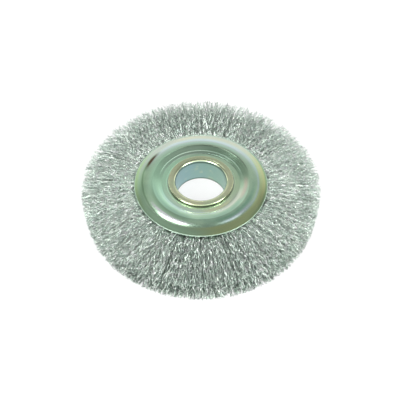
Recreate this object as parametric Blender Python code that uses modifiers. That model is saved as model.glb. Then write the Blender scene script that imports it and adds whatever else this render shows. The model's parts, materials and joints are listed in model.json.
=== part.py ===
"""A crimped wire wheel brush for a bench grinder.

Two stamped side plates are locked together by a hub sleeve whose ends are rolled over them. Between the
plates lies a round core ring, and the wire fill is folded round that ring in hanks. Each hank is a hairpin:
two crimped legs that lie on each other past the ring. They swell as soon as they leave the plates, widen
slowly from there to the rim, and end in points.

Metres, +Z along the bore. The wheel lies on its rear lip, and the origin is on the ground under its axis.
"""

import math

import bmesh
import bpy

COLLECTION_NAME = "wire_wheel_brush"

# The wheel
WHEEL_RADIUS = 0.0750  # to the longest wire ends
HUB_WIDTH = 0.0180  # over both rolled lips
BORE_RADIUS = 0.0160
CLEARANCE = 0.0003  # between pieces that meet
ROUND_STEPS = 40  # facets right round each turned piece

# The hub sleeve
SLEEVE_WALL = 0.0015
LIP_OVERHANG = 0.0030  # of the rolled lip past the sleeve's wall
LIP_THICKNESS = 0.0017
LAND_WIDTH = 0.0018  # the flat ring on top of the lip
MOUTH_RADIUS = 0.0008  # the roll from the bore into the lip
MOUTH_FALL = 0.0003  # of the lip's face from the flat ring to the bore
MOUTH_POINTS = 4
LIP_EDGE_POINTS = 5

# The side plates
SHEET_THICKNESS = 0.0012
SEAT_WIDTH = 0.0065  # the flat ring round the hub hole
RISE_WIDTH = 0.0079  # from the seat to the shoulder's crest
FALL_WIDTH = 0.0098  # from the crest to the cut edge
CREST_RISE = 0.0018  # of the crest over the seat
RIM_DROP = 0.0020  # of the cut edge under the crest
RISE_POINTS = 4
FALL_POINTS = 4

# The core ring
CORE_RING_INSET = 0.0095  # from the sleeve's wall to the ring's centre line
CORE_WIRE_RADIUS = 0.0020
CORE_RING_STEPS = 32
CORE_WIRE_SIDES = 6

# The wire hanks
HANK_COUNT = 36
RIDGES = 3  # bunches of wire that show on each face of a hank
RIDGE_DEPTH = 0.0011
LEG_SPLIT = 0.0003  # between the two legs of a hank
RIM_HALF_WIDTH = 0.0082  # from the middle plane to the face of the fill, where the points begin
SWELL = 0.45  # power of the way out that the fill widens by: 1 is even, and less is sooner
POINT_LENGTH = 0.0042
SHORTEST_POINT = 0.55  # share of POINT_LENGTH
POINT_HEIGHT = 0.50  # share of the leg's height
CRIMPS = 5  # half waves from the plate to the points
CRIMP_SWAY = 0.00085  # sideways, each way
CRIMP_LIFT = 0.00035  # in and out of the face, each way
FILL_TUCK = 0.0005  # how far the crimped legs start inside the plate's edge
CLOSING_LENGTH = 0.0030  # from the core ring's outside to where the legs lie together
FOLD_STEPS = 3

# Worked out from the sizes above
LIP_TOP = HUB_WIDTH / 2
SEAT_HEIGHT = LIP_TOP - LIP_THICKNESS - CLEARANCE
SLEEVE_RADIUS = BORE_RADIUS + SLEEVE_WALL
LIP_RADIUS = SLEEVE_RADIUS + LIP_OVERHANG
HUB_HOLE_RADIUS = SLEEVE_RADIUS + CLEARANCE
CREASE_RADIUS = HUB_HOLE_RADIUS + SEAT_WIDTH
CREST_RADIUS = CREASE_RADIUS + RISE_WIDTH
PLATE_RADIUS = CREST_RADIUS + FALL_WIDTH
CORE_RING_RADIUS = SLEEVE_RADIUS + CORE_RING_INSET
FOLD_INNER = (CORE_WIRE_RADIUS + CLEARANCE) / math.cos(math.pi / (2 * FOLD_STEPS))
FOLD_OUTER = SEAT_HEIGHT - SHEET_THICKNESS - CLEARANCE
CRIMPS_START = PLATE_RADIUS - FILL_TUCK
CRIMPS_END = WHEEL_RADIUS - POINT_LENGTH
HALF_PITCH = math.pi / HANK_COUNT

GOLD_ZINC = ((0.52, 0.50, 0.33), 0.30)
GREEN_ZINC = ((0.36, 0.46, 0.33), 0.28)
BRIGHT_WIRE = ((0.42, 0.46, 0.42), 0.35)
PLAIN_STEEL = ((0.40, 0.41, 0.42), 0.45)


def clear_scene():
    for thing in list(bpy.data.objects):
        bpy.data.objects.remove(thing)


def new_collection():
    collection = bpy.data.collections.new(COLLECTION_NAME)
    bpy.context.scene.collection.children.link(collection)
    return collection


def metal(name, look):
    """A bare metal surface of the given colour and roughness."""
    colour, roughness = look
    material = bpy.data.materials.new(name)
    material.use_nodes = True
    shader = material.node_tree.nodes["Principled BSDF"]
    shader.inputs["Base Color"].default_value = (*colour, 1.0)
    shader.inputs["Metallic"].default_value = 1.0
    shader.inputs["Roughness"].default_value = roughness
    return material


def place(name, mesh, look, collection, centre):
    """Puts a mesh in the scene as a named sub-part, measured from the wheel's centre."""
    part = bpy.data.objects.new(name, mesh)
    part.data.materials.clear()
    part.data.materials.append(metal(name, look))
    part.parent = centre
    collection.objects.link(part)
    return part


def profile_mesh(name, points, closed):
    """A chain of edges in the plane y = 0, from points given as radius and height."""
    mesh = bpy.data.meshes.new(name)
    edges = [(i, i + 1) for i in range(len(points) - 1)]
    if closed:
        edges.append((len(points) - 1, 0))
    mesh.from_pydata([(radius, 0.0, height) for radius, height in points], edges, [])
    return mesh


def turn(part):
    """Sweeps the part's profile right round the wheel's axis."""
    screw = part.modifiers.new("Turned", "SCREW")
    screw.axis = "Z"
    screw.angle = 2 * math.pi
    screw.steps = ROUND_STEPS
    screw.render_steps = ROUND_STEPS
    screw.use_merge_vertices = True
    screw.merge_threshold = 0.00001
    screw.use_smooth_shade = True


def arc(centre, radius, start, end, count):
    """Points on a round corner, with angles in degrees from +radius towards +height."""
    points = []
    for i in range(count):
        angle = math.radians(start + (end - start) * i / (count - 1))
        points.append((centre[0] + radius * math.cos(angle), centre[1] + radius * math.sin(angle)))
    return points


def plate_height(radius):
    """Height of the plate's outer face over the middle plane.

    The seat is flat, the shoulder rises from it as half a cosine wave, and past the crest the face falls
    as a parabola to the cut edge.
    """
    if radius <= CREASE_RADIUS:
        return SEAT_HEIGHT
    if radius <= CREST_RADIUS:
        share = (radius - CREASE_RADIUS) / RISE_WIDTH
        return SEAT_HEIGHT + CREST_RISE * (1 - math.cos(math.pi * share)) / 2
    share = (radius - CREST_RADIUS) / FALL_WIDTH
    return SEAT_HEIGHT + CREST_RISE - RIM_DROP * share**2


def plate_profile():
    """The plate's outer face from the hub hole to the cut edge."""
    radii = [HUB_HOLE_RADIUS, CREASE_RADIUS]
    radii += [CREASE_RADIUS + RISE_WIDTH * i / RISE_POINTS for i in range(1, RISE_POINTS + 1)]
    radii += [CREST_RADIUS + FALL_WIDTH * i / FALL_POINTS for i in range(1, FALL_POINTS + 1)]
    return [(radius, plate_height(radius)) for radius in radii]


def add_side_plate(name, collection, centre):
    """One stamped side plate, facing +Z: an open turned face with the sheet's thickness under it."""
    plate = place(name, profile_mesh(name, plate_profile(), closed=False), GREEN_ZINC, collection, centre)
    turn(plate)
    sheet = plate.modifiers.new("Sheet", "SOLIDIFY")
    sheet.thickness = SHEET_THICKNESS
    sheet.offset = -1.0
    sheet.use_even_offset = True
    return plate


def hub_half_profile():
    """The sleeve's section above the middle plane, from its outer wall round the lip into the bore."""
    edge_radius = LIP_THICKNESS / 2
    edge_centre = (LIP_RADIUS - edge_radius, LIP_TOP - edge_radius)
    mouth_centre = (BORE_RADIUS + MOUTH_RADIUS, LIP_TOP - MOUTH_FALL - MOUTH_RADIUS)
    points = [(SLEEVE_RADIUS, LIP_TOP - LIP_THICKNESS)]
    points += arc(edge_centre, edge_radius, -90, 90, LIP_EDGE_POINTS)
    points.append((edge_centre[0] - LAND_WIDTH, LIP_TOP))
    points += arc(mouth_centre, MOUTH_RADIUS, 90, 180, MOUTH_POINTS)
    return points


def add_hub_sleeve(collection, centre):
    """The rolled tube that is the bore and locks the plates together."""
    upper = hub_half_profile()
    lower = [(radius, -height) for radius, height in reversed(upper)]
    profile = profile_mesh("hub_sleeve", list(reversed(upper + lower)), closed=True)
    hub = place("hub_sleeve", profile, GOLD_ZINC, collection, centre)
    turn(hub)
    return hub


def add_core_ring(collection, centre):
    """The retaining ring that every wire is folded round."""
    bpy.ops.mesh.primitive_torus_add(
        major_radius=CORE_RING_RADIUS,
        minor_radius=CORE_WIRE_RADIUS,
        major_segments=CORE_RING_STEPS,
        minor_segments=CORE_WIRE_SIDES,
    )
    torus = bpy.context.active_object
    mesh = torus.data
    bpy.data.objects.remove(torus)
    mesh.shade_smooth()
    return place("core_ring", mesh, PLAIN_STEEL, collection, centre)


def half_width(radius):
    """Half the room a hank has at this radius, sideways, with its share of the gap to the next hank."""
    return radius * math.tan(HALF_PITCH) - CLEARANCE / 2


def fill_height(radius):
    """Height of the fill's face over the middle plane, from under the plate's edge to the rim."""
    start = plate_height(PLATE_RADIUS) - SHEET_THICKNESS - CLEARANCE
    share = (radius - CRIMPS_START) / (CRIMPS_END - CRIMPS_START)
    return start + (RIM_HALF_WIDTH - start) * share**SWELL


def crimped_section(radius, crimp, hank):
    """The ring of points round a leg at one turn of its crimp.

    The split face is flat. The outer face goes from valley to ridge to valley, each ridge lifted in or out,
    and the whole section sways sideways, the other way at each turn. The first section lies straight in the
    plates.
    """
    width = half_width(radius)
    sway = CRIMP_SWAY * (-1) ** crimp if crimp else 0.0
    lift = CRIMP_LIFT * (-1) ** (crimp + hank) if crimp else 0.0
    points = [(radius, sway - width, LEG_SPLIT / 2)]
    for i in range(2 * RIDGES + 1):
        change = lift * (-1) ** (i // 2) if i % 2 else -RIDGE_DEPTH
        points.append((radius, sway + width * (i / RIDGES - 1), fill_height(radius) + change))
    points.append((radius, sway + width, LEG_SPLIT / 2))
    return points


def plain_section(inner, outer):
    """The four corners of a leg inside the plates, from its inner and outer points of radius and height."""
    (r_in, z_in), (r_out, z_out) = inner, outer
    near = half_width(r_in)
    far = half_width(r_out)
    return [(r_in, -near, z_in), (r_out, -far, z_out), (r_out, far, z_out), (r_in, near, z_in)]


def fold_sections():
    """Sections of the hairpin's bend round the core ring, from the upper leg to the lower one."""
    sections = []
    for i in range(FOLD_STEPS + 1):
        angle = math.pi / 2 - math.pi * i / FOLD_STEPS
        inner = (CORE_RING_RADIUS - FOLD_INNER * math.cos(angle), FOLD_INNER * math.sin(angle))
        outer = (CORE_RING_RADIUS - FOLD_OUTER * math.cos(angle), FOLD_OUTER * math.sin(angle))
        sections.append(plain_section(inner, outer))
    return sections


def turned_over(section):
    """The same section on the lower leg."""
    return [(x, y, -z) for x, y, z in section]


def bridge(solid, ring, other, partners):
    """Joins two rings of points with faces. partners gives the other ring's point that each point meets."""
    count = len(ring)
    for i in range(count):
        after = (i + 1) % count
        corners = [ring[i], ring[after], other[partners[after]], other[partners[i]]]
        solid.faces.new(dict.fromkeys(corners))


def point_reach(hank, ridge):
    """Radius of a wire end: lengths differ in an even scatter that repeats in each quarter of the wheel."""
    scatter = ((hank % (HANK_COUNT // 4)) * RIDGES + ridge) * 0.618 % 1.0
    if hank % (HANK_COUNT // 4) == 0 and ridge == RIDGES // 2:
        scatter = 1.0
    return CRIMPS_END + POINT_LENGTH * (SHORTEST_POINT + (1 - SHORTEST_POINT) * scatter)


def split_edge(solid, ring):
    """The last section's edge on the split face, as one point at each side of each ridge."""
    first, last = ring[0], ring[-1]
    between = [solid.verts.new(first.co.lerp(last.co, i / RIDGES)) for i in range(1, RIDGES)]
    return [first, *between, last]


def add_points(solid, ring, splits, hank, side):
    """Closes a leg's end with one pointed bunch on each ridge."""
    for ridge in range(RIDGES):
        outline = [splits[ridge], *ring[1 + 2 * ridge : 4 + 2 * ridge], splits[ridge + 1]]
        reach = point_reach(hank, ridge)
        sideways = (2 * ridge + 1) / RIDGES - 1
        height = side * POINT_HEIGHT * RIM_HALF_WIDTH
        tip = solid.verts.new((reach, half_width(reach) * sideways, height))
        for i, corner in enumerate(outline):
            solid.faces.new([corner, outline[(i + 1) % len(outline)], tip])


def add_leg(solid, root, hank, side):
    """One crimped leg, from the plain section at its root to its points. side is 1 above and -1 below."""
    previous = root
    partners = [0] + [1] * (RIDGES + 1) + [2] * RIDGES + [3]
    for crimp in range(CRIMPS + 1):
        radius = CRIMPS_START + (CRIMPS_END - CRIMPS_START) * crimp / CRIMPS
        section = crimped_section(radius, crimp, hank)
        if side < 0:
            section = turned_over(section)
        ring = [solid.verts.new(point) for point in section]
        if crimp < CRIMPS:
            bridge(solid, ring, previous, partners)
            previous = ring
            partners = list(range(len(ring)))
    splits = split_edge(solid, ring)
    add_points(solid, ring, splits, hank, side)
    back = [partners[-1] if 2 * i > RIDGES else 0 for i in range(RIDGES - 1, 0, -1)]
    bridge(solid, ring + splits[-2:0:-1], previous, partners + back)


def add_hank(hank, collection, centre):
    """One hank: a bundle folded like a hairpin round the core ring."""
    name = f"wire_hank_{hank + 1:02d}"
    solid = bmesh.new()
    meeting = CORE_RING_RADIUS + CORE_WIRE_RADIUS + CLOSING_LENGTH
    root = plain_section((meeting, LEG_SPLIT / 2), (meeting, FOLD_OUTER))
    sections = [root, *fold_sections(), turned_over(root)]
    rings = [[solid.verts.new(point) for point in section] for section in sections]
    for ring, other in zip(rings, rings[1:]):
        bridge(solid, ring, other, range(len(ring)))
    add_leg(solid, rings[0], hank, 1)
    add_leg(solid, rings[-1], hank, -1)
    bmesh.ops.recalc_face_normals(solid, faces=solid.faces[:])
    mesh = bpy.data.meshes.new(name)
    solid.to_mesh(mesh)
    solid.free()
    part = place(name, mesh, BRIGHT_WIRE, collection, centre)
    part.rotation_euler.z = 2 * HALF_PITCH * hank
    return part


def main():
    clear_scene()
    collection = new_collection()
    centre = bpy.data.objects.new("wheel_centre", None)
    centre.location.z = HUB_WIDTH / 2
    collection.objects.link(centre)
    add_side_plate("front_plate", collection, centre)
    rear = add_side_plate("rear_plate", collection, centre)
    rear.rotation_euler.x = math.pi
    add_hub_sleeve(collection, centre)
    add_core_ring(collection, centre)
    for hank in range(HANK_COUNT):
        add_hank(hank, collection, centre)


main()
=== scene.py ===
"""Looks of a crimped wire wheel brush: the finish of every surface, and the wires of its fill one by one.

Each sub-assembly is a class that holds its sizes in metres, works its surfaces out with numpy and dresses
them. Angles go round +Z from +X. The camera stands on the -Y side, so near is -Y, far is +Y, right is +X.
"""

from __future__ import annotations

import json
import logging
import math
from abc import ABC, abstractmethod
from collections.abc import Callable
from dataclasses import dataclass
from enum import Enum

import bpy
import numpy as np
from bpy.types import Material, Mesh, Node, NodeSocket, Object, World
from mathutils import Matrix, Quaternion, Vector

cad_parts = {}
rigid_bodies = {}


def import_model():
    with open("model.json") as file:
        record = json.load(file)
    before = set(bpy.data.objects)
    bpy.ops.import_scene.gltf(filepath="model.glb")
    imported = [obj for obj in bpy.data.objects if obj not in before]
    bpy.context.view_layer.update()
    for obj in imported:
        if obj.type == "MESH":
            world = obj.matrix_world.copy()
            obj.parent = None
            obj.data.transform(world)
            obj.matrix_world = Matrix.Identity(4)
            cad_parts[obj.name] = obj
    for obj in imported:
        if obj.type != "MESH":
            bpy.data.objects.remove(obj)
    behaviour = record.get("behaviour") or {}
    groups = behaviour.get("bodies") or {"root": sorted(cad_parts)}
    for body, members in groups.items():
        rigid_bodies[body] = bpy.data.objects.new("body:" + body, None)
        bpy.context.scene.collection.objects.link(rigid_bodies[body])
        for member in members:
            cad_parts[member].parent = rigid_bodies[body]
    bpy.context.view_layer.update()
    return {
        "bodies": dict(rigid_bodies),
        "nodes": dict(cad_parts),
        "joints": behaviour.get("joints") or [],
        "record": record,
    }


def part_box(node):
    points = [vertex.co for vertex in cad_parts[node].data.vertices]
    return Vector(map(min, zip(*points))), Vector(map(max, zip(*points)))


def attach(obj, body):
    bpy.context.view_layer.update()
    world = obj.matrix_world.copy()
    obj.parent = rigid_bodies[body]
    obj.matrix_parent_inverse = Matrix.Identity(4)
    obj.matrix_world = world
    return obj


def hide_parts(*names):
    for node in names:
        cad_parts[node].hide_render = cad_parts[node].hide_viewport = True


Colour = tuple[float, float, float]
Pair = tuple[float, float]
LOG = logging.getLogger("wire_wheel")
ROOT = "root"
NO_FACES = np.zeros((0, 3), int)


class Slot(Enum):
    """The record's material slots."""

    PLATE = "side_plate"
    HUB = "hub_sleeve"
    WIRE = "wire"


class Side(Enum):
    """The two faces of the wheel, as the sign of their direction along the bore."""

    FRONT = 1
    REAR = -1


def operator(kind: str, swapped: bool = False) -> Callable[[Field, Field | float], Field]:
    """Makes an operator of Field.

    Args:
        kind: the Math node's operation.
        swapped: whether the field comes second, as in 1 - mask.

    Returns:
        The operator.
    """

    def method(field: Field, other: Field | float) -> Field:
        """Adds the Math node."""
        return field.desk.math(kind, *((other, field) if swapped else (field, other)))

    return method


class Field:
    """A number that varies over a surface. Its operators add Math nodes to the material."""

    __add__, __radd__ = operator("ADD"), operator("ADD", swapped=True)
    __sub__, __rsub__ = operator("SUBTRACT"), operator("SUBTRACT", swapped=True)
    __mul__, __rmul__ = operator("MULTIPLY"), operator("MULTIPLY", swapped=True)
    __truediv__, __rtruediv__ = operator("DIVIDE"), operator("DIVIDE", swapped=True)

    def __init__(self, desk: Desk, socket: NodeSocket) -> None:
        """Wraps the output socket that carries the number, with the desk that its nodes stand on."""
        self.desk = desk
        self.socket = socket

    def __neg__(self) -> Field:
        """The number with its sign changed."""
        return self * -1.0

    def clamped(self) -> Field:
        """The number kept between 0 and 1."""
        return self.desk.math("MINIMUM", self.desk.math("MAXIMUM", self, 0.0), 1.0)

    def between(self, low: float, high: float) -> Field:
        """A smooth step from 0 at low to 1 at high, 3t^2 - 2t^3. It falls where low is over high."""
        share = ((self - low) / (high - low)).clamped()
        return share * share * (3.0 - 2.0 * share)

    def bump_at(self, middle: float, reach: float) -> Field:
        """A soft bump that is 1 at middle and falls to 0 at reach on each side."""
        return self.desk.math("ABSOLUTE", self - middle).between(reach, 0.0)


class Desk:
    """Builds the nodes of one material, or of the world."""

    def __init__(self, owner: Material | World) -> None:
        """Opens the owner's nodes.

        Args:
            owner: the world, or a material, which holds a Principled shader.
        """
        owner.use_nodes = True
        self.owner = owner
        self.tree = owner.node_tree

    @property
    def shader(self) -> Node:
        """The material's Principled shader."""
        return self.tree.nodes["Principled BSDF"]

    def put(self, target: NodeSocket, value: object) -> None:
        """Links a socket, or sets its own value.

        Args:
            target: the input socket.
            value: a Field, an output socket, a number, or a colour or vector as a tuple.
        """
        if isinstance(value, Field):
            value = value.socket
        if isinstance(value, NodeSocket):
            self.tree.links.new(value, target)
        elif isinstance(value, tuple) and target.type == "RGBA":
            target.default_value = (*value, 1.0)
        else:
            target.default_value = value

    def node(self, kind: str, settings: dict[str, object], values: dict[str | int, object]) -> Node:
        """Adds any node.

        Args:
            kind: the node's type.
            settings: what is set on the node itself, first. stops is a colour ramp's places and colours.
            values: what each input socket gets, by its name or number.

        Returns:
            The node.
        """
        made = self.tree.nodes.new(kind)
        stops = settings.pop("stops", ())
        while stops and len(made.color_ramp.elements) < len(stops):
            made.color_ramp.elements.new(0.5)
        for i, (place, colour) in enumerate(stops):
            made.color_ramp.elements[i].position = place
            made.color_ramp.elements[i].color = (*colour, 1.0)
        for key, setting in settings.items():
            setattr(made, key, setting)
        for key, value in values.items():
            self.put(made.inputs[key], value)
        return made

    def math(self, operation: str, *numbers: Field | float) -> Field:
        """The result of one Math node, from its operation and its inputs in order."""
        made = self.node("ShaderNodeMath", {"operation": operation}, dict(enumerate(numbers)))
        return Field(self, made.outputs[0])

    def mix(self, factor: Field | float, first: object, second: object, blend: str = "MIX") -> NodeSocket:
        """Mixes two colours, each a tuple or a socket. Factor 0 gives the first and 1 the second."""
        settings = {"data_type": "RGBA", "blend_type": blend}
        return self.node("ShaderNodeMix", settings, {0: factor, 6: first, 7: second}).outputs[2]

    def point(self, frame: str = "Object") -> NodeSocket:
        """The surface point in the object's own frame. The world's Generated is the direction of sight."""
        return self.node("ShaderNodeTexCoord", {}, {}).outputs[frame]

    def split(self, point: NodeSocket) -> tuple[Field, Field, Field, Field]:
        """The point's x, y and z, and its distance from the axis."""
        x, y, z = (Field(self, part) for part in self.node("ShaderNodeSeparateXYZ", {}, {0: point}).outputs)
        return x, y, z, self.math("SQRT", x * x + y * y)

    def vector(self, x: Field | float, y: Field | float, z: Field | float) -> NodeSocket:
        """Joins three numbers into a vector."""
        return self.node("ShaderNodeCombineXYZ", {}, {0: x, 1: y, 2: z}).outputs[0]

    def noise(self, point: NodeSocket, scale: float, detail: float = 3.0, rough: float = 0.55) -> Field:
        """Noise from 0 to 1. Detail is how many finer layers it has, and rough how strong they are."""
        values = {"Vector": point, "Scale": scale, "Detail": detail, "Roughness": rough}
        return Field(self, self.node("ShaderNodeTexNoise", {}, values).outputs[0])

    def bump(self, height: Field, strength: float, distance: float) -> NodeSocket:
        """A Bump node for the shader's Normal, with the distance in metres that a height of 1 stands out."""
        values = {"Height": height, "Strength": strength, "Distance": distance}
        return self.node("ShaderNodeBump", {}, values).outputs[0]

    def finish(self, **sockets: object) -> None:
        """Sets the shader's sockets, named with an underscore for each space."""
        for key, value in sockets.items():
            self.put(self.shader.inputs[key.replace("_", " ")], value)


class Finish(ABC):
    """What all the finishes share."""

    @abstractmethod
    def paint(self, desk: Desk) -> None:
        """Builds the finish from the material's nodes."""

    def material(self, name: str) -> Material:
        """Makes a material of this name in the finish."""
        desk = Desk(bpy.data.materials.new(name))
        self.paint(desk)
        return desk.owner


@dataclass(frozen=True)
class Patch:
    """A soft patch of another tint on the film. The tables use such patches for the film's colour, for
    painted highlights and for painted shade.
    """

    bearing: float  # degrees round +Z from +X
    spread: float  # degrees to each side of the bearing
    radius: float
    reach: float  # metres to each side of the radius
    colour: Colour
    strength: float = 1.0

    def mask(self, x: Field, y: Field, radius: Field) -> Field:
        """How much of the patch shows: 1 at its middle, and 0 at its spread and reach.

        Args:
            x: the point's place to the right.
            y: its place to the far side.
            radius: its distance from the axis.

        Returns:
            The mask.
        """
        turn = math.radians(self.bearing)
        along = (x * math.cos(turn) + y * math.sin(turn)) / radius
        width = along.between(math.cos(math.radians(self.spread)), 1.0)
        return width * radius.bump_at(self.radius, self.reach) * self.strength


@dataclass(frozen=True)
class PassivatedZinc(Finish):
    """Zinc plating under a thin passivated film. Its tint drifts round the plate and from zone to zone, with
    painted highlights and painted shade laid on it in patches.
    """

    green: Colour = (0.50, 0.70, 0.50)
    deep: Colour = (0.43, 0.62, 0.45)
    mint: Colour = (0.50, 0.82, 0.58)
    olive: Colour = (0.58, 0.70, 0.36)
    pearl: Colour = (0.70, 0.75, 0.68)
    smear: Colour = (0.10, 0.06, 0.035)
    bare_edge: Colour = (0.56, 0.74, 0.60)
    # Painted shade: a dark line on the plate just outside the hub's lip.
    painted_seam_shade: Colour = (0.30, 0.34, 0.30)
    roughness: float = 0.14
    crease: float = 0.0252  # radius where the seat ends
    crest: float = 0.0320
    rim: float = 0.0420
    bare_by_rim: Pair = (0.04140, 0.04175)  # radii where it begins and is full, as in the next two
    painted_seam_shade_radii: Pair = (0.0214, 0.0208)
    dull_by_hub: Pair = (0.0224, 0.0212)
    painted_highlight_line: Pair = (0.0266, 0.0005)  # radius and reach of the painted highlight line on the far flank
    smear_bearing: float = -117.0  # degrees from the near side, round by the right
    smear_spread: float = 18.0  # degrees
    smear_band: Pair = (0.0360, 0.0017)  # radius and reach
    # Film tints, and among them painted highlights where the lamps' crescents fall.
    tints_and_painted_highlights: tuple[Patch, ...] = (
        Patch(-90, 100, 0.0225, 0.0025, (0.70, 0.84, 0.68), 0.7),
        Patch(-95, 85, 0.0252, 0.0024, (0.72, 0.86, 0.84), 0.85),
        Patch(-62, 32, 0.0236, 0.0024, (0.74, 0.78, 0.46), 0.75),
        Patch(-40, 34, 0.0258, 0.0028, (0.80, 0.78, 0.66), 0.75),
        Patch(-14, 24, 0.0282, 0.0022, (0.72, 0.64, 0.52), 0.8),
        Patch(105, 75, 0.0252, 0.0012, (0.66, 0.86, 0.72), 0.7),
        # Painted highlight: whitens the film where the high lamp's crescent falls on the near left shoulder.
        Patch(-124, 30, 0.0346, 0.0015, (0.90, 0.90, 0.96), 0.9),
        # Painted highlight: tints bluish the stretch where the second lamp's crescent falls on the near right
        # shoulder.
        Patch(-50, 26, 0.0352, 0.0018, (0.54, 0.62, 0.68), 0.85),
        # Painted highlight: a light line on the far flank, which is also made less metallic there.
        Patch(90, 85, 0.0266, 0.0005, (0.80, 1.00, 0.88), 0.85),
        Patch(90, 80, 0.0286, 0.0030, (0.60, 0.84, 0.64), 0.9),
        Patch(90, 80, 0.0330, 0.0020, (0.58, 0.86, 0.70), 0.8),
        Patch(85, 95, 0.0352, 0.0022, (0.66, 0.82, 0.84), 0.9),
        Patch(75, 85, 0.0386, 0.0022, (0.73, 0.76, 0.57), 0.9),
        Patch(145, 40, 0.0386, 0.0026, (0.54, 0.62, 0.56), 0.8),
        Patch(90, 110, 0.0414, 0.0012, (0.44, 0.62, 0.48), 0.9),
        Patch(5, 42, 0.0394, 0.0020, (0.64, 0.68, 0.34), 0.7),
        Patch(0, 60, 0.0360, 0.0012, (0.58, 0.74, 0.72), 0.6),
        Patch(-135, 65, 0.0398, 0.0034, (0.56, 0.86, 0.58), 0.85),
        Patch(180, 40, 0.0405, 0.0020, (0.50, 0.72, 0.36), 0.7),
    )
    # Painted shade: these patches darken the film zone by zone round the plate, and the two thin ones at the
    # far right crest and crease dim the lamp's reflections there.
    painted_shades: tuple[Patch, ...] = (
        Patch(-138, 46, 0.0292, 0.0030, (0.66, 0.66, 0.70)),
        Patch(55, 50, 0.0306, 0.0007, (0.40, 0.36, 0.38)),
        Patch(60, 50, 0.0245, 0.0006, (0.50, 0.46, 0.48)),
        Patch(178, 40, 0.0365, 0.0044, (0.82, 0.88, 0.80)),
        Patch(-140, 40, 0.0252, 0.0018, (0.80, 0.88, 0.86)),
        Patch(-45, 30, 0.0252, 0.0018, (0.84, 0.88, 0.86)),
        Patch(45, 50, 0.0268, 0.0012, (0.70, 0.76, 0.74)),
        Patch(-45, 40, 0.0252, 0.0018, (0.84, 0.87, 0.88)),
        Patch(45, 60, 0.0385, 0.0026, (0.90, 0.94, 0.98)),
        Patch(-45, 50, 0.0292, 0.0030, (0.80, 0.84, 0.88)),
        Patch(45, 55, 0.0288, 0.0040, (0.60, 0.66, 0.62)),
        Patch(-90, 60, 0.0308, 0.0036, (0.76, 0.80, 0.82)),
        Patch(-45, 50, 0.0332, 0.0026, (0.56, 0.70, 0.70)),
        Patch(-136, 40, 0.0316, 0.0024, (0.76, 0.76, 0.72)),
        Patch(45, 60, 0.0250, 0.0016, (0.74, 0.82, 0.80)),
        Patch(-80, 28, 0.0356, 0.0020, (0.86, 0.90, 0.92)),
        Patch(-172, 50, 0.0366, 0.0009, (0.66, 0.72, 0.66)),
        Patch(0, 60, 0.0412, 0.0016, (0.66, 0.78, 0.82)),
    )

    def paint(self, desk: Desk) -> None:
        """Builds the film.

        The tint is read from the angle and radius round the bore, bent by soft noise, and the patches lie on
        it: film tints with painted highlights among them, then painted shade that darkens zones round the
        plate.
        Fine streaks run round it. A short brown smear lies on the far left shoulder, and a dark painted shade
        line rings the hub lip.

        Args:
            desk: the material's nodes.
        """
        point = desk.point()
        x, y, _, radius = desk.split(point)
        swirl = desk.noise(point, 34.0, 2.0)
        bend = (swirl - 0.5) * 0.9
        right = x / radius + bend
        far = y / radius + bend
        streaks = desk.noise(desk.vector(radius * 1500.0, x * 30.0, y * 30.0), 1.0, 4.0, 0.6)
        cloud = desk.noise(point, 90.0, 4.0, 0.6)
        wander = radius + (swirl - 0.5) * 0.0016 + (cloud - 0.5) * 0.0008
        tint = desk.mix(cloud.between(0.35, 0.65), self.green, self.deep)
        seat = radius.between(self.crease + 0.001, self.crease - 0.002)
        flank = radius.between(self.crest - 0.002, self.crest + 0.003)
        tint = desk.mix((-right).between(0.1, 0.9) * (1.0 - flank) * 0.85, tint, self.mint)
        tint = desk.mix(right.between(0.0, 0.8) * (-far).between(-0.6, 0.5) * seat * 0.35, tint, self.olive)
        outer = radius.between(self.crest + 0.004, self.rim - 0.0045)
        tint = desk.mix(outer * (right * 0.9 - far * 0.5).between(0.1, 0.8) * 0.9, tint, self.olive)
        tint = desk.mix(flank * far.between(0.15, 0.9) * 0.8, tint, self.pearl)
        # Film tints and painted highlights are mixed in first, then the painted shade is multiplied over
        # them.
        for patches, blend in ((self.tints_and_painted_highlights, "MIX"), (self.painted_shades, "MULTIPLY")):
            for patch in patches:
                tint = desk.mix(patch.mask(x, y, wander), tint, patch.colour, blend)
        cut = radius.between(*self.bare_by_rim)
        tint = desk.mix(cut, tint, self.bare_edge)
        # Painted shade under the edge of the hub's lip.
        tint = desk.mix(radius.between(*self.painted_seam_shade_radii), tint, self.painted_seam_shade)
        angle = desk.math("ARCTAN2", x, -y)
        smear_angle = angle.bump_at(math.radians(self.smear_bearing), math.radians(self.smear_spread))
        grains = desk.noise(point, 900.0).between(0.2, 0.45)
        smear = smear_angle * radius.bump_at(*self.smear_band) * grains
        tint = desk.mix((smear * 1.4).clamped() * 0.95, tint, self.smear)
        wear = smear * 0.3 + cut * 0.2 + radius.between(*self.dull_by_hub) * 0.25
        roughness = streaks * 0.06 + cloud * 0.04 + wear + (self.roughness - 0.04)
        normal = desk.bump(streaks + swirl * 0.6, 0.05, 0.0001)
        # Painted highlight: the line on the far flank is less metallic, on the far side only.
        line = radius.bump_at(*self.painted_highlight_line) * far.between(-0.1, 0.5)
        metallic = 1.0 - line * 0.35 - cut * 0.3
        desk.finish(Base_Color=tint, Roughness=roughness, Metallic=metallic, Normal=normal)


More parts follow.
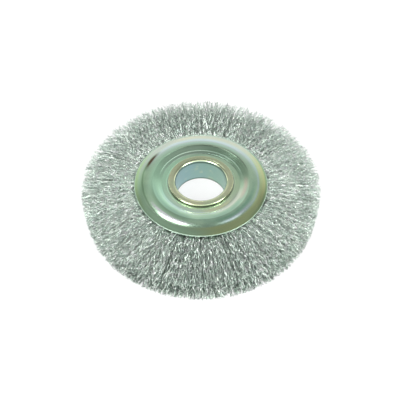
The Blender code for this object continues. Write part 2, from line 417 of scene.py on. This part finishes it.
@dataclass(frozen=True)
class GoldenZinc(Finish):
    """Yellow film on the hub sleeve, which turns bluish down in the bore; painted shade darkens its far side
    and the bore's edges.
    """

    middle: float  # height of the sleeve's middle
    gold: Colour = (0.60, 0.63, 0.42)
    green: Colour = (0.50, 0.60, 0.40)
    painted_far_shade: Colour = (0.45, 0.52, 0.34)  # painted shade, on the far side
    blue: Colour = (0.29, 0.45, 0.46)
    teal: Colour = (0.30, 0.46, 0.38)
    line: Colour = (0.10, 0.15, 0.11)
    roughness: float = 0.22
    bore_radius: float = 0.0160
    wall_from: Pair = (0.0164, 0.0161)  # radii where the bore's wall begins
    lines_from: Pair = (0.0172, 0.0160)  # and where the dark lines do
    painted_shade_lines: Pair = (0.0072, -0.0080)  # heights of the painted shade lines over the middle, where the rolls meet the bore
    line_width: float = 0.0011

    def paint(self, desk: Desk) -> None:
        """Builds the film, from the radius, the height and soft noise, with fine dark painted shade lines
        round the bore.

        Args:
            desk: the material's nodes.
        """
        point = desk.point()
        x, y, z, radius = desk.split(point)
        swirl = desk.noise(point, 60.0, 2.0)
        cloud = desk.noise(point, 130.0, 4.0, 0.6)
        streaks = desk.noise(desk.vector(z * 1200.0, x * 60.0, y * 60.0), 1.0)
        tint = desk.mix(swirl.between(0.35, 0.7), self.gold, self.green)
        # Painted shade: the lip is darker towards the far side.
        tint = desk.mix((y / radius).between(-0.2, 0.8) * 0.8, tint, self.painted_far_shade)
        inside = radius.between(*self.wall_from)
        drift = x / self.bore_radius + cloud * 1.4 - 0.7
        wall = desk.mix(drift.between(-1.0, 0.9), self.blue, self.teal)
        tint = desk.mix(inside, tint, wall)
        patches = desk.noise(point, 210.0, 4.0).between(0.56, 0.72)
        tint = desk.mix(patches * inside * 0.35, tint, self.gold)
        near_bore = radius.between(*self.lines_from)
        # Painted shade: dark lines where the rolled lips turn down into the bore.
        for line in self.painted_shade_lines:
            ring = z.bump_at(self.middle + line, self.line_width) * near_bore
            tint = desk.mix(ring * 0.9, tint, self.line)
        roughness = streaks * 0.14 + cloud * 0.10 + inside * 0.12 + (self.roughness - 0.10)
        normal = desk.bump(streaks + cloud, 0.10, 0.0001)
        desk.finish(Base_Color=tint, Roughness=roughness, Metallic=1.0, Normal=normal)


@dataclass(frozen=True)
class DrawnWire(Finish):
    """Bright drawn steel wire. Each wire has a shade of its own, which changes from bend to bend."""

    dark: Colour = (0.40, 0.52, 0.46)
    bright: Colour = (0.93, 1.0, 0.92)
    lilac: Colour = (0.86, 0.80, 0.86)
    roughness: float = 0.285

    def paint(self, desk: Desk) -> None:
        """Builds the wire's surface from the shade attribute and fine flecks.

        Args:
            desk: the material's nodes.
        """
        point = desk.point()
        attribute = desk.node("ShaderNodeAttribute", {"attribute_name": WireFill.SHADE}, {})
        shade = Field(desk, attribute.outputs["Fac"])
        fleck = desk.noise(point, 900.0, 1.0)
        hue = desk.noise(point, 420.0, 1.0)
        tint = desk.mix((shade + (fleck - 0.5) * 0.4).clamped(), self.dark, self.bright)
        tint = desk.mix(hue.between(0.52, 0.66) * 0.45, tint, self.lilac)
        roughness = fleck * 0.16 + (self.roughness - 0.08)
        desk.finish(Base_Color=tint, Roughness=roughness, Metallic=1.0)


@dataclass(frozen=True)
class DeepWire(Finish):
    """The dark inside of the fill, where wires lie too close for light to reach."""

    dark: Colour = (0.05, 0.06, 0.052)
    bright: Colour = (0.30, 0.33, 0.30)

    def paint(self, desk: Desk) -> None:
        """Builds a dark surface with fine radial streaks, read from the angle round the bore.

        Args:
            desk: the material's nodes.
        """
        x, y, z, radius = desk.split(desk.point())
        along = desk.vector(x / radius * 160.0, y / radius * 160.0, radius * 700.0 + z * 300.0)
        spokes = desk.noise(along, 1.0)
        tint = desk.mix(spokes.between(0.45, 0.75), self.dark, self.bright)
        normal = desk.bump(spokes, 0.8, 0.0004)
        desk.finish(Base_Color=tint, Roughness=0.5, Metallic=0.8, Normal=normal)


@dataclass(frozen=True)
class PlainSteel(Finish):
    """Bare drawn steel for the core ring."""

    colour: Colour = (0.46, 0.47, 0.48)

    def paint(self, desk: Desk) -> None:
        """Builds the steel, with soft mottling.

        Args:
            desk: the material's nodes.
        """
        mottle = desk.noise(desk.point(), 300.0)
        tint = desk.mix(mottle, tuple(0.8 * part for part in self.colour), self.colour)
        desk.finish(Base_Color=tint, Roughness=mottle * 0.2 + 0.3, Metallic=1.0)


def grid_quads(rows: int, columns: int) -> np.ndarray:
    """Faces of a grid of points that closes on itself both ways.

    Args:
        rows: points along the first direction.
        columns: points along the second, which are numbered next to each other.

    Returns:
        Quads, as an array of four point numbers each: (i, j), (i, j+1), (i+1, j+1), (i+1, j).
    """
    number = np.arange(rows * columns).reshape(rows, columns)
    after = np.roll(number, -1, axis=1)
    corners = [number, after, np.roll(after, -1, axis=0), np.roll(number, -1, axis=0)]
    return np.stack(corners, axis=-1).reshape(-1, 4)


def mesh_object(name: str, points: np.ndarray, quads: np.ndarray, triangles: np.ndarray = NO_FACES) -> Object:
    """Puts arrays of points and faces into a smooth mesh object in the scene.

    Args:
        name: the object's name.
        points: point positions, one row each.
        quads: faces of four points.
        triangles: faces of three points.

    Returns:
        The object.
    """
    mesh = bpy.data.meshes.new(name)
    corners = np.concatenate([quads.ravel(), triangles.ravel()]).astype(np.int32)
    sizes = np.repeat([4, 3], [len(quads), len(triangles)])
    starts = (np.cumsum(sizes) - sizes).astype(np.int32)
    mesh.vertices.add(len(points))
    mesh.vertices.foreach_set("co", points.astype(np.float32).ravel())
    mesh.loops.add(len(corners))
    mesh.loops.foreach_set("vertex_index", corners)
    mesh.polygons.add(len(sizes))
    mesh.polygons.foreach_set("loop_start", starts)
    mesh.polygons.foreach_set("use_smooth", np.ones(len(sizes), bool))
    mesh.update(calc_edges=True)
    mesh.validate()
    made = bpy.data.objects.new(name, mesh)
    bpy.context.scene.collection.objects.link(made)
    return made


def turned(name: str, radius: np.ndarray, height: np.ndarray, steps: int) -> Object:
    """Turns a closed profile round the bore.

    Point (i, j) is (r cos a_j, r sin a_j, z), with a_j = 2 pi j / steps and the radius r and height z of
    point i, or of i and j. The profile runs up on its outer side, so that faces look outwards.

    Args:
        name: the object's name.
        radius: distances from the axis, one row for each point of the profile.
        height: heights, in such rows.
        steps: how many times the profile is repeated round the bore.

    Returns:
        The object.
    """
    angle = 2 * np.pi * np.arange(steps) / steps
    places = np.broadcast_arrays(radius * np.cos(angle), radius * np.sin(angle), height)
    return mesh_object(name, np.stack(places, axis=-1).reshape(-1, 3), grid_quads(len(radius), steps))


def ellipse_arc(centre: Pair, reach: Pair, start: float, end: float, count: int) -> np.ndarray:
    """Points on a stretch of an ellipse, centre + (a cos t, b sin t), from start to end degrees."""
    t = np.radians(np.linspace(start, end, count))
    return centre + reach * np.stack([np.cos(t), np.sin(t)], axis=-1)


def dress(piece: Object, material: Material) -> None:
    """Gives a new piece its material, and lets it ride on the only body.

    Args:
        piece: the new piece.
        material: its material.
    """
    piece.data.materials.append(material)
    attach(piece, ROOT)


@dataclass
class Wheel:
    """The sizes that all the pieces share, read from the frame where it states them."""

    middle: float  # height of the middle plane over the ground
    radius: float  # to the longest wire ends
    plate_radius: float
    plate_top: float  # the crest of the plate's shoulder over the middle plane
    bore_radius: float = 0.0160
    sleeve_radius: float = 0.0175
    lip_thickness: float = 0.0017
    clearance: float = 0.0003
    sheet: float = 0.0012
    slopes: tuple[Pair, ...] = (
        (0.0243, 0.0), (0.0249, 18.0), (0.0302, 18.0), (0.0309, 4.0), (0.0318, 0.0), (0.0340, -2.5),
        (0.0365, -8.0), (0.0385, -14.0), (0.0420, -21.0),
    )  # the plate's slope in degrees at radii from the end of its seat to its cut edge
    samples: int = 2001  # that its height is summed over

    @classmethod
    def from_frame(cls) -> Wheel:
        """Reads the wheel's height, its radius, and the plate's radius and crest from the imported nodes."""
        low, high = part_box("hub_sleeve")
        _, plate_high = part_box("front_plate")
        _, fill_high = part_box("wire_hank_01")
        middle = (low[2] + high[2]) / 2
        return cls(middle, fill_high[0], plate_high[0], plate_high[2] - middle)

    def plate_slope(self, radius: np.ndarray) -> np.ndarray:
        """Slope of the plate's outer face in radians, which changes evenly between the stations."""
        place, angle = np.array(self.slopes).T
        return np.radians(np.interp(radius, place, angle))

    def plate_height(self, radius: np.ndarray) -> np.ndarray:
        """Height of the plate's outer face over the middle plane.

        It is the running integral of the slope's tangent, set so that its highest point is the plate's crest.

        Args:
            radius: distances from the axis.

        Returns:
            The heights.
        """
        fine = np.linspace(self.sleeve_radius, self.plate_radius, self.samples)
        rise = np.tan(self.plate_slope(fine))
        height = np.concatenate([[0.0], np.cumsum((rise[1:] + rise[:-1]) / 2 * np.diff(fine))])
        return np.interp(radius, fine, height) + self.plate_top - height.max()


@dataclass
class SidePlate:
    """One stamped side plate."""

    wheel: Wheel
    side: Side
    turn_step: float = 1.6  # degrees of slope between the face's points
    edge_points: int = 7
    edge_land: float = 0.00008  # the last stretch of face before a cut edge
    edge_bulge: float = 0.00018
    steps: int = 168

    def face_radii(self) -> np.ndarray:
        """Where the face's points lie: two in each stretch between slope stations, and more where it turns.

        Returns:
            The radii, from the hole's edge to the rim's.
        """
        wheel = self.wheel
        first = wheel.sleeve_radius + wheel.clearance + self.edge_bulge
        last = wheel.plate_radius - self.edge_bulge
        stations = [(first, 0.0), *wheel.slopes[:-1], (last, wheel.slopes[-1][1])]
        stretches = []
        for (start, slope), (end, next_slope) in zip(stations, stations[1:]):
            points = 2 + int(abs(next_slope - slope) / self.turn_step)
            stretches.append(np.linspace(start, end, points, endpoint=False))
        edges = [first + self.edge_land, last - self.edge_land, last]
        return np.sort(np.concatenate([*stretches, edges]))

    def profile(self) -> np.ndarray:
        """The sheet's closed section.

        The outer face is the plate's height over the radius. The inner face is the outer one moved along its
        normal by the sheet's thickness. The two cut edges bulge as 1 - |w|^3 across the sheet.

        Returns:
            Radius and height of each point, over the middle plane.
        """
        wheel = self.wheel
        radius = self.face_radii()
        height = wheel.plate_height(radius)
        slope = wheel.plate_slope(radius)
        outer = np.stack([radius, height], axis=-1)
        inward = np.stack([np.sin(slope), -np.cos(slope)], axis=-1)
        inner = outer + inward * wheel.sheet
        across = np.linspace(-1, 1, self.edge_points)[1:-1, None]
        bulge = self.edge_bulge * (1 - np.abs(across) ** 3)
        rim_along = np.array([np.cos(slope[-1]), np.sin(slope[-1])])
        hole_edge = (outer[0] * (1 - across) + inner[0] * (1 + across)) / 2 + bulge * (-1.0, 0.0)
        rim_edge = (inner[-1] * (1 - across) + outer[-1] * (1 + across)) / 2 + bulge * rim_along
        return np.concatenate([outer[::-1], hole_edge, inner, rim_edge])

    def build(self) -> Object:
        """Builds the plate and dresses it in its passivated film.

        Returns:
            The plate.
        """
        profile = self.profile()
        if self.side is Side.REAR:
            profile = profile[::-1] * (1, -1)
        profile = profile + (0, self.wheel.middle)
        name = f"{self.side.name.lower()}_plate"
        plate = turned(f"{name}_stamping", profile[:, :1], profile[:, 1:], self.steps)
        dress(plate, PassivatedZinc().material(f"{name}_zinc"))
        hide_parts(name)
        return plate


@dataclass
class HubSleeve:
    """The tube that is the bore, with both ends rolled over the plates."""

    wheel: Wheel
    overhang: float = 0.0030
    crown: float = 0.0199  # radius where the lip's flat land ends outside
    land: float = 0.0183  # radius where it ends inside
    drop: float = 0.0006  # the fall to where the lip's edge turns under
    roll: float = 0.0015  # height of the roll from the land down into the bore
    rear_roll: float = 0.0007
    arc_points: int = 10
    wall_points: int = 8
    steps: int = 168

    def half(self, roll_height: float) -> np.ndarray:
        """The section above the middle plane, from the outer wall round the lip into the bore.

        Under the lip's edge, from there up to the land, and from the land down into the bore the section is a
        quarter of an ellipse. The land between them is flat.

        Args:
            roll_height: height of the roll from the land down into the bore.

        Returns:
            Radius and height of each point, over the middle plane.
        """
        wheel = self.wheel
        top = wheel.middle
        outside = wheel.sleeve_radius
        lip = outside + self.overhang
        inwards = self.land - wheel.bore_radius
        under = wheel.lip_thickness - self.drop
        turn = top - self.drop
        floor = top - roll_height
        wall = np.linspace((outside, 0.0), (outside, top - wheel.lip_thickness), self.wall_points)
        tuck = ellipse_arc((lip - under, turn), (under, under), -90, 0, self.arc_points // 2)
        fall = ellipse_arc((self.crown, turn), (lip - self.crown, self.drop), 0, 90, self.arc_points)[1:]
        roll = ellipse_arc((self.land, floor), (inwards, roll_height), 90, 180, 2 * self.arc_points)
        bore = np.linspace((wheel.bore_radius, floor), (wheel.bore_radius, 0.0), self.wall_points)[1:]
        return np.concatenate([wall[1:], tuck, fall, roll, bore])

    def build(self) -> Object:
        """Builds the sleeve and dresses it in its golden film.

        Returns:
            The sleeve.
        """
        upper = self.half(self.roll)
        lower = self.half(self.rear_roll)[::-1][1:] * (1, -1)
        wall_middle = np.array([[self.wheel.sleeve_radius, 0.0]])
        profile = np.concatenate([upper, lower, wall_middle]) + (0, self.wheel.middle)
        sleeve = turned("hub_sleeve_rolled", profile[:, :1], profile[:, 1:], self.steps)
        dress(sleeve, GoldenZinc(self.wheel.middle).material("hub_zinc"))
        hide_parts("hub_sleeve")
        return sleeve


@dataclass
class WireFill:
    """The crimped wires, in sectors that each stand for some of the hanks."""

    SHADE = "wire_shade"

    wheel: Wheel
    hanks: int = 36
    sectors: int = 6
    wires: int = 1500  # in each sector
    bends: int = 15
    tufts: int = 24  # in each sector
    wire_radius: float = 0.00018
    half_at_plate: float = 0.0056
    half_at_rim: float = 0.0094
    flare: float = 0.44  # the power of the way out that the fill widens by
    crowding: float = 0.66  # under 1 brings the wires nearer to the two faces
    flare_end: float = 0.0730
    start: float = 0.0385
    root_scatter: float = 0.0024  # how much further in wires can start
    crimp: float = 0.00052  # from a wire's middle line to its bends
    crimp_range: Pair = (0.7, 1.3)  # from wire to wire, as a share
    bend_range: Pair = (0.6, 1.4)  # from bend to bend, as a share
    unevenness: float = 0.35  # of the stretches between bends, as a share
    twist: float = 4.0  # radians that a crimp's plane can turn along a wire
    fringe: Pair = (0.0009, 0.0095)  # how much shorter wires can be, near and far
    fringe_power: float = 2.2  # over 1 leaves most wires long
    fringe_turn: float = 0.1  # radians from the far side round to the right, where the fringe is deepest
    tuft_fringe: float = 0.0004  # how much shorter tufts can be
    strays: float = 0.0012  # how far a wire wanders off its spoke by its end
    stray_power: float = 1.5
    sway: float = 0.0005  # how far slow waves lead a wire to the sides
    sway_turns: Pair = (3.0, 8.0)  # radians of wave along a wire
    dive: float = 0.0006  # how far a wire goes under and over its neighbours
    dive_turns: Pair = (20.0, 34.0)
    tuft_pull: float = 0.25
    deepest: float = 0.98  # share of the half width that levels reach
    headroom: float = 0.975  # share of the hub's half width that wires keep to
    own_shade: float = 0.2  # share of a wire's shade that is even along it
    map_columns: int = 4  # of strips in the bake map
    map_margin: float = 0.02  # at each end of a strip
    seed: int = 71

    def half_width(self, radius: np.ndarray) -> np.ndarray:
        """Height of the fill's face over the middle plane.

        It rises from the plate's edge to the rim as a power of the way, so that it is steepest at the plate.

        Args:
            radius: distances from the axis.

        Returns:
            The heights.
        """
        share = (radius - self.wheel.plate_radius) / (self.flare_end - self.wheel.plate_radius)
        gain = self.half_at_rim - self.half_at_plate
        return self.half_at_plate + gain * np.clip(share, 0, None) ** self.flare

    def paths(self, draw: np.random.Generator, first: float) -> np.ndarray:
        """The middle lines of one sector's wires.

        A wire runs outwards at its own level between the faces. It goes straight from bend to bend, and the
        bends stand by turns on its two sides, in a plane that turns slowly along it. Stretches and bends are
        uneven. Waves lead it to the sides, and under and over its neighbours. A drift that grows as a power
        of the way out leads it off its spoke, and it leans towards the middle of its tuft. Its end falls
        short of the rim by its tuft's own measure and by a random one, which is mostly small and grows from
        the near side to the far one as a cosine.

        Args:
            draw: where the random numbers come from.
            first: the angle where the sector begins.

        Returns:
            Points, one row of bends for each wire.
        """
        count = self.wires

        def each(low: float, high: float) -> np.ndarray:
            """One random number for each wire, as a column."""
            return draw.uniform(low, high, count)[:, None]

        width = 2 * np.pi / self.sectors
        limit = self.wheel.radius - self.wire_radius
        share = (np.arange(count) + draw.uniform(0, 1, count)) / count
        spoke = first + width * share
        even = draw.permutation(np.linspace(-1, 1, count))
        level = self.deepest * np.sign(even) * np.abs(even) ** self.crowding
        tuft = np.minimum((share * self.tufts).astype(int), self.tufts - 1)
        centre = first + width * (np.arange(self.tufts) + draw.uniform(0.2, 0.8, self.tufts)) / self.tufts
        least, most = self.fringe
        ragged = least + (most - least) * (1 + np.sin(spoke + self.fringe_turn)) / 2
        tuft_reach = limit - draw.uniform(0, self.tuft_fringe, self.tufts)[tuft]
        reach = tuft_reach - ragged * draw.uniform(0, 1, count) ** self.fringe_power
        root = self.start + draw.uniform(-self.root_scatter, 0.0, count)
        stretches = draw.uniform(1 - self.unevenness, 1 + self.unevenness, (count, self.bends - 1))
        along = np.concatenate([np.zeros((count, 1)), np.cumsum(stretches, axis=1)], axis=1)
        along = along / along[:, -1:]
        radius = root[:, None] + (reach - root)[:, None] * along
        side = draw.choice([-1.0, 1.0], count)[:, None] * (-1.0) ** np.arange(self.bends)
        bend = self.crimp * each(*self.crimp_range) * draw.uniform(*self.bend_range, along.shape) * side
        plane = each(0, np.pi) + each(-self.twist, self.twist) * along
        swaying = self.sway * np.sin(each(0, 2 * np.pi) + each(*self.sway_turns) * along)
        drift = along**self.stray_power
        towards = (centre[tuft] - spoke) * self.tuft_pull
        lean = draw.normal(0, self.strays, count)[:, None] * drift + towards[:, None] * radius * along**2
        lift = draw.normal(0, self.strays / 2, count)[:, None] * drift
        diving = self.dive * np.sin(each(0, 2 * np.pi) + each(*self.dive_turns) * along)
        sideways = lean + swaying + bend * np.cos(plane)
        height = level[:, None] * self.half_width(radius) + lift + bend * np.sin(plane) + diving
        ceiling = self.wheel.middle * self.headroom
        height = np.clip(height, -ceiling, ceiling)
        cos, sin = np.cos(spoke)[:, None], np.sin(spoke)[:, None]
        shrink = np.minimum(1.0, limit / np.hypot(radius, sideways))
        x, y = radius * shrink, sideways * shrink
        return np.stack([x * cos - y * sin, x * sin + y * cos, height + self.wheel.middle], axis=-1)

    def tubes(self, paths: np.ndarray, turn: np.ndarray) -> tuple[np.ndarray, np.ndarray, np.ndarray]:
        """Three-sided tubes round the paths, closed at both ends.

        The sides stand at three even angles in the plane across the path, whose axes are the path's direction
        crossed with +Z, and that crossed with the direction again.

        Args:
            paths: points, one row for each wire.
            turn: how far each wire's three sides are turned.

        Returns:
            Points, quads and the triangles of the ends.
        """
        count, bends, _ = paths.shape
        ahead = np.gradient(paths, axis=1)
        ahead /= np.linalg.norm(ahead, axis=-1, keepdims=True)
        across = np.cross(ahead, (0.0, 0.0, 1.0))
        across /= np.linalg.norm(across, axis=-1, keepdims=True)
        up = np.cross(across, ahead)
        corner = (turn[:, None, None] + 2 * np.pi * np.arange(3) / 3)[..., None]
        ring = np.cos(corner) * across[:, :, None] + np.sin(corner) * up[:, :, None]
        points = paths[:, :, None] + self.wire_radius * ring
        number = np.arange(count * bends * 3).reshape(count, bends, 3)
        after = np.roll(number, -1, axis=2)
        quads = np.stack([number[:, :-1], number[:, 1:], after[:, 1:], after[:, :-1]], axis=-1).reshape(-1, 4)
        ends = np.concatenate([number[:, 0], number[:, -1, ::-1]])
        return points.reshape(-1, 3), quads, ends

    def unwrap(self, mesh: Mesh) -> None:
        """Lays the tubes out for baking: a strip for each wire, with its three sides side by side.

        Wire w lies in column w mod c and row w div c. Corner (bend k, side s) is at u = m + (1 - 2 m) k / n
        of the column and v = s / 3 of the row, with m the margin and n the stretches. The two end triangles
        lie in the margins.

        Args:
            mesh: the tubes, whose quads come first, wire by wire, and then the first and the last ends.
        """
        columns = self.map_columns
        margin = self.map_margin
        rows = -(-self.wires // columns)
        wire = np.arange(self.wires)
        steps = self.bends - 1
        k, s = np.meshgrid(np.arange(steps), np.arange(3), indexing="ij")
        u = margin + (1 - 2 * margin) * np.stack([k, k + 1, k + 1, k], axis=-1) / steps
        v = np.stack([s, s, s + 1, s + 1], axis=-1) / 3
        strip = np.stack([u, v], axis=-1).reshape(-1, 2)
        point = 0.75 * margin
        end = np.array([[0.0, 0.0], [point, 0.5], [0.0, 1.0]])
        cell = np.stack([wire % columns, wire // columns], axis=-1)[:, None]
        layout = [(part + cell).reshape(-1, 2) for part in (strip, end, end + (1 - point, 0.0))]
        layer = mesh.uv_layers.new(name="OFBake")
        layer.data.foreach_set("uv", (np.concatenate(layout) / (columns, rows)).astype(np.float32).ravel())

    @staticmethod
    def sharpen(mesh: Mesh) -> None:
        """Marks the edges round each bend as sharp, so that the light breaks there.

        Both points of such an edge are in one ring.

        Args:
            mesh: the tubes, whose points are numbered ring by ring.
        """
        ends = np.empty(2 * len(mesh.edges), np.int32)
        mesh.edges.foreach_get("vertices", ends)
        rings = ends.reshape(-1, 2) // 3
        sharp = mesh.attributes.new("sharp_edge", "BOOLEAN", "EDGE")
        sharp.data.foreach_set("value", rings[:, 0] == rings[:, 1])

    def sector(self, index: int) -> Object:
        """Builds one sector's wires.

        Args:
            index: which sector, counted round from +X.

        Returns:
            The sector's piece.
        """
        draw = np.random.default_rng(self.seed + index)
        first = 2 * np.pi / self.sectors * index - np.pi / self.hanks
        points, quads, ends = self.tubes(self.paths(draw, first), draw.uniform(0, 2 * np.pi, self.wires))
        piece = mesh_object(f"crimped_wires_{index + 1}", points, quads, ends)
        self.sharpen(piece.data)
        self.unwrap(piece.data)
        shade = piece.data.attributes.new(self.SHADE, "FLOAT", "POINT")
        own = draw.uniform(0, 1, (self.wires, 1)) * self.own_shade
        painted_shades = own + draw.uniform(0, 1, (self.wires, self.bends)) * (1 - self.own_shade)
        shade.data.foreach_set("value", np.repeat(painted_shades, 3).astype(np.float32))
        return piece

    def build(self) -> list[Object]:
        """Builds every sector, and dresses them all in one wire material.

        Returns:
            The sectors.
        """
        material = DrawnWire().material("drawn_wire")
        each = self.hanks // self.sectors
        pieces = []
        for index in range(self.sectors):
            piece = self.sector(index)
            dress(piece, material)
            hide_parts(*(f"wire_hank_{index * each + i + 1:02d}" for i in range(each)))
            pieces.append(piece)
        return pieces


@dataclass
class PackedCore:
    """The roots of the wires between the plates, too dense to see into: a ring of fine spokes."""

    fill: WireFill
    start: float = 0.0235
    end: float = 0.0415
    depth: float = 0.0013  # under the fill's faces
    tightness: float = 0.92  # share of the room between the plates
    spoke_height: float = 0.0005
    even_spokes: float = 0.6  # share of a spoke's height that is the same all along it
    rows: int = 8
    steps: int = 540
    seed: int = 5

    def build(self) -> Object:
        """Builds the ring, and dresses it in dark wire.

        The two faces lie under the fill's faces. Each point of a face is lowered by its spoke's own random
        share of the spoke height, so that the face is ribbed along the wires.

        Returns:
            The ring.
        """
        draw = np.random.default_rng(self.seed)
        wheel = self.fill.wheel
        radius = np.linspace(self.end, self.start, self.rows)
        inside = (wheel.plate_height(radius) - wheel.sheet - wheel.clearance) * self.tightness
        outside = self.fill.half_width(radius)
        height = np.minimum(np.where(radius > wheel.plate_radius, outside, inside), outside) - self.depth
        upper = np.stack([radius, height], axis=-1)
        profile = np.concatenate([upper, upper[::-1] * (1, -1)])
        own = draw.uniform(0, 1, (2 * self.rows, self.steps)) * (1 - self.even_spokes)
        spokes = (own + draw.uniform(0, 1, (1, self.steps)) * self.even_spokes) * self.spoke_height
        lowered = profile[:, 1:] - np.sign(profile[:, 1:]) * spokes
        core = turned("packed_wire", profile[:, :1] - spokes, lowered + wheel.middle, self.steps)
        dress(core, DeepWire().material("deep_wire"))
        return core


@dataclass
class CoreRing:
    """The retaining ring inside, which keeps its solid from the frame."""

    nodes: dict[str, Object]  # the frame's

    def build(self) -> Object:
        """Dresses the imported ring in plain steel.

        Returns:
            The ring.
        """
        ring = self.nodes["core_ring"]
        ring.data.materials.clear()
        ring.data.materials.append(PlainSteel().material("ring_steel"))
        return ring


@dataclass
class Lamp:
    """A flat soft light that faces the wheel."""

    name: str
    azimuth: float  # degrees from the near side, round by the right
    elevation: float
    distance: float
    size: Pair
    power: float
    roll: float = 0.0  # degrees that it is turned in its own plane

    def build(self, target: float) -> None:
        """Builds the lamp.

        Args:
            target: height of the point that it faces, on the wheel's axis.
        """
        data = bpy.data.lights.new(self.name, "AREA")
        data.shape = "RECTANGLE"
        data.size, data.size_y = self.size
        data.energy = self.power
        lamp = bpy.data.objects.new(self.name, data)
        aim(lamp, self.azimuth, self.elevation, self.distance, target, self.roll)


def aim(thing: Object, azimuth: float, elevation: float, distance: float, target: float, roll: float) -> None:
    """Places a lamp or a camera in the scene and turns it to the wheel.

    Args:
        thing: what is placed.
        azimuth: degrees from the near side, round by the right.
        elevation: degrees over the ground.
        distance: how far away it is.
        target: height of the point that it faces, on the wheel's axis.
        roll: degrees that it is turned in its own plane.
    """
    turn, rise = math.radians(azimuth), math.radians(elevation)
    way = np.array([math.sin(turn) * math.cos(rise), -math.cos(turn) * math.cos(rise), math.sin(rise)])
    thing.location = (way * distance + (0.0, 0.0, target)).tolist()
    looking = Vector((-way).tolist())
    spin = Quaternion((0.0, 0.0, 1.0), math.radians(roll))
    thing.rotation_euler = (looking.to_track_quat("-Z", "Y") @ spin).to_euler()
    bpy.context.scene.collection.objects.link(thing)


@dataclass
class Studio:
    """A white floor, soft light and the camera."""

    wheel: Wheel
    elevation: float = 50.3
    distance: float = 0.346
    lens: float = 48.70
    shift: Pair = (-0.00225, -0.0284)
    floor_reach: float = 3.0  # from its middle to each side
    floor_colour: Colour = (0.97, 0.97, 0.97)
    floor_glow: float = 0.75  # how much of the seen floor is plain white, with the rest lit and shadowed
    sky_stops: tuple[Pair, ...] = (
        (0.0, 0.70), (0.14, 0.80), (0.34, 0.97), (0.53, 0.97), (0.63, 0.80), (0.71, 0.56), (0.75, 0.56),
        (0.80, 0.66), (0.84, 0.46), (0.89, 0.36), (1.0, 0.30),
    )  # the sine of the elevation, and how bright the sky is there
    far_sky: Pair = (0.62, 0.96)  # cosines from the far side, where its far part begins
    top_sky: Pair = (0.80, 0.90)  # sines of the elevation, where its top begins
    side_sky: float = 0.55  # how bright it is away from its far part and its top, as a share
    near_sky: float = 1.7  # how much its near part adds, as a share
    near_reach: Pair = (0.12, 0.45)  # towards the near side, where that part begins
    near_rise: Pair = (0.20, 0.50)  # sines of the elevation, where it begins
    near_top: Pair = (0.93, 0.80)  # and where it ends
    lamps: tuple[Lamp, ...] = (
        Lamp("high_box", 204.0, 65.0, 1.2, (0.22, 0.115), 0.50, -35.0),
        Lamp("second_box", 160.0, 63.5, 1.2, (0.15, 0.09), 0.050, 35.0),
        Lamp("overhead_bank", 0.0, 66.0, 1.5, (2.0, 0.6), 4.5),
        Lamp("left_key", 312.0, 40.0, 1.5, (0.7, 0.7), 14.0),
        Lamp("right_key", 60.0, 36.0, 1.6, (0.7, 0.7), 14.0),
        Lamp("left_low", 244.0, 17.0, 1.8, (1.2, 0.6), 4.0),
        Lamp("right_low", 116.0, 17.0, 1.8, (1.2, 0.6), 4.0),
        Lamp("far_low", 180.0, 2.0, 2.2, (3.6, 0.34), 7.0),
    )

    def floor(self) -> None:
        """The white floor. What sees it directly or as a reflection gets part of it as plain white."""
        points = self.floor_reach * np.array([(-1, -1, 0), (1, -1, 0), (1, 1, 0), (-1, 1, 0)])
        made = mesh_object("floor", points, np.array([[0, 1, 2, 3]]))
        desk = Desk(bpy.data.materials.new("floor_paper"))
        desk.finish(Base_Color=self.floor_colour, Roughness=0.9, Specular_IOR_Level=0.0)
        rays = desk.node("ShaderNodeLightPath", {}, {}).outputs
        kinds = ("Camera", "Glossy", "Transmission")
        camera, glossy, clear = (Field(desk, rays[f"Is {kind} Ray"]) for kind in kinds)
        factor = (camera + glossy + clear).clamped() * self.floor_glow
        white = desk.node("ShaderNodeEmission", {}, {"Color": (1.0, 1.0, 1.0), "Strength": 1.0}).outputs[0]
        blend = desk.node("ShaderNodeMixShader", {}, {0: factor, 1: desk.shader.outputs[0], 2: white})
        desk.put(desk.tree.nodes["Material Output"].inputs["Surface"], blend.outputs[0])
        made.data.materials.append(desk.owner)

    def sky(self) -> None:
        """Soft light from all round. It is brighter on the far and near sides than on the other two."""
        world = bpy.data.worlds.new("studio")
        bpy.context.scene.world = world
        desk = Desk(world)
        _, y, z, level = desk.split(desk.point("Generated"))
        stops = [(sine, (grey, grey, grey)) for sine, grey in self.sky_stops]
        ramp = desk.node("ShaderNodeValToRGB", {"stops": stops}, {0: z})
        towards_far = (y / (level + 0.001)).between(*self.far_sky)
        far = towards_far * (1.0 - self.side_sky) + self.side_sky
        top = z.between(*self.top_sky)
        near_band = z.between(*self.near_rise) * z.between(*self.near_top)
        near = (-y).between(*self.near_reach) * near_band
        background = desk.tree.nodes["Background"].inputs
        desk.put(background["Color"], ramp.outputs[0])
        desk.put(background["Strength"], far + top * (1.0 - far) + near * self.near_sky)

    def camera(self) -> None:
        """The camera at the photograph's angle."""
        data = bpy.data.cameras.new("camera")
        data.lens = self.lens
        data.shift_x, data.shift_y = self.shift
        camera = bpy.data.objects.new("camera", data)
        aim(camera, 0.0, self.elevation, self.distance, self.wheel.middle, 0.0)
        bpy.context.scene.camera = camera

    def build(self) -> None:
        """Sets up the floor, the sky, the lamps and the camera."""
        self.floor()
        self.sky()
        for lamp in self.lamps:
            lamp.build(self.wheel.middle)
        self.camera()
        bpy.context.scene.view_settings.view_transform = "Standard"


def main() -> None:
    """Builds the wheel round the frame."""
    logging.basicConfig(level=logging.INFO, format="%(name)s: %(message)s")
    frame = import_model()
    wheel = Wheel.from_frame()
    plates = [SidePlate(wheel, side).build() for side in Side]
    sleeve = HubSleeve(wheel).build()
    fill = WireFill(wheel)
    wires = fill.build()
    core = PackedCore(fill).build()
    ring = CoreRing(frame["nodes"]).build()
    for piece in [*plates, sleeve, *wires, core, ring]:
        LOG.info("%s: %d faces", piece.name, len(piece.data.polygons))
    Studio(wheel).build()


if __name__ == "__main__":
    main()
